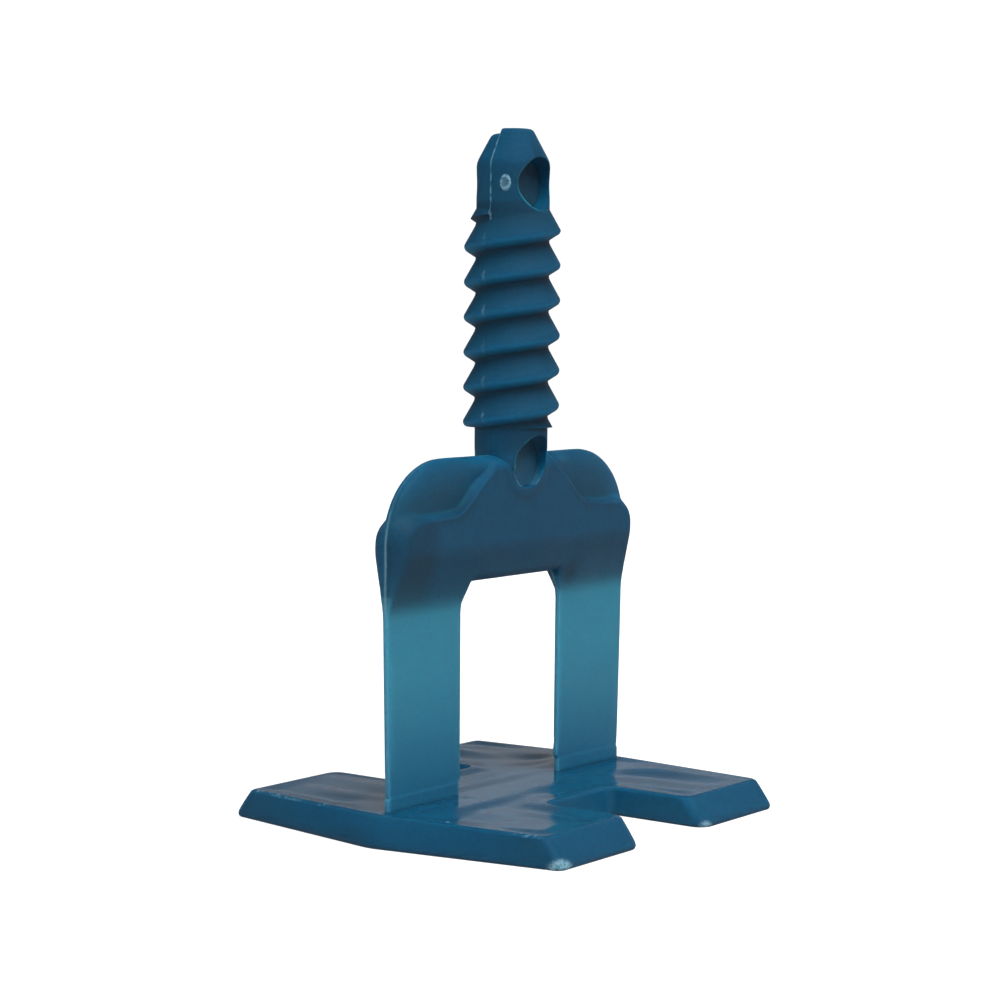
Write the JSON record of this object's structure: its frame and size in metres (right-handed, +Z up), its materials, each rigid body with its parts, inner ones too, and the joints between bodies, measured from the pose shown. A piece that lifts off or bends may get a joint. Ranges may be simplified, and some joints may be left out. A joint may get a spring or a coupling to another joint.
{
  "type": "tile leveling clip",
  "caption": "Snap-off tile leveling clip: four-armed base plate, two thin legs, a rounded crossbar head and an upright threaded stem.",
  "frame": {"origin": "centre of the underside of the base plate, on the axis of the threaded stem", "axes": "+Z up along the stem, X across the two legs, Y through the thickness of the clip"},
  "size_m": [0.0452, 0.0408, 0.07],
  "materials": {
    "clip_plastic": "semi-gloss, slightly translucent moulded plastic"
  },
  "bodies": {
    "root": {"leveling_clip": "clip_plastic"}
  },
  "joints": []
}
